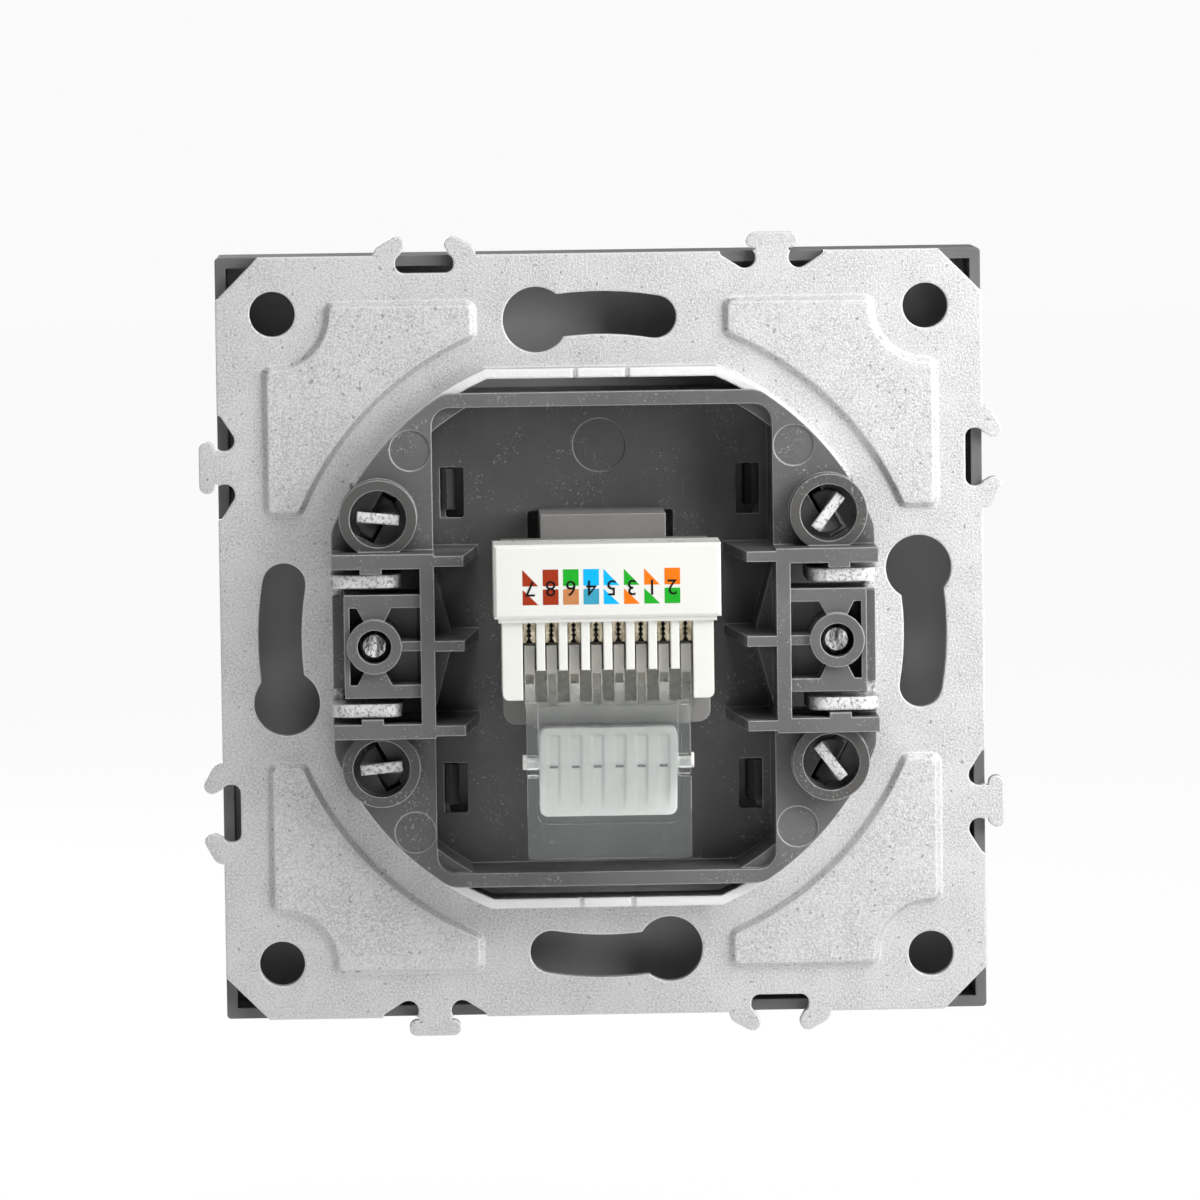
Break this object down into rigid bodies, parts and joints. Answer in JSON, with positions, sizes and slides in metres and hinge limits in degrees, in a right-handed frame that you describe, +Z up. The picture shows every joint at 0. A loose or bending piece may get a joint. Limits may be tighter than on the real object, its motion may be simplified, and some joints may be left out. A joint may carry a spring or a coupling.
{
  "type": "ethernet wall socket",
  "caption": "Flush ethernet wall socket insert: pressed support frame, carrier with rear tool-less jack module, clear press cover and square front cover.",
  "frame": {"origin": "on the socket axis, on the rear face of the metal sheet, at the centre of the four corner holes", "axes": "+Z up on the wall, +Y into the wall box (rear), -Y to the room (front), X along the wall"},
  "size_m": [0.0744, 0.0245, 0.0744],
  "materials": {
    "plate_metal": "zinc-plated, matte",
    "carrier_plastic": "fine eroded grain",
    "cover_plastic": "satin",
    "jack_plastic": "satin",
    "white_plastic": "satin",
    "clear_plastic": "clear polycarbonate",
    "contact_metal": "gold flash",
    "screw_metal": "zinc-plated, bright",
    "board": "solder mask"
  },
  "bodies": {
    "insert": {"support_plate": "plate_metal", "carrier": "carrier_plastic", "front_cover": "cover_plastic", "jack_housing": "jack_plastic", "circuit_board": "board", "jack_base": "jack_plastic", "wiring_block": "white_plastic", "wire_guide": "white_plastic", "clamp_screw_left": "screw_metal", "clamp_screw_right": "screw_metal", "idc_contact_1": "contact_metal", "idc_contact_2": "contact_metal", "idc_contact_3": "contact_metal", "idc_contact_4": "contact_metal", "idc_contact_5": "contact_metal", "idc_contact_6": "contact_metal", "idc_contact_7": "contact_metal", "idc_contact_8": "contact_metal", "jack_contact_1": "contact_metal", "jack_contact_2": "contact_metal", "jack_contact_3": "contact_metal", "jack_contact_4": "contact_metal", "jack_contact_5": "contact_metal", "jack_contact_6": "contact_metal", "jack_contact_7": "contact_metal", "jack_contact_8": "contact_metal"},
    "cover": {"press_cover": "clear_plastic"}
  },
  "joints": [
    {"name": "press_cover_hinge", "type": "hinge", "parent": "insert", "child": "cover", "pos_m": [0, 0.011, -0.0106], "axis": [-1, 0, 0], "range_deg": [0, 25]}
  ]
}
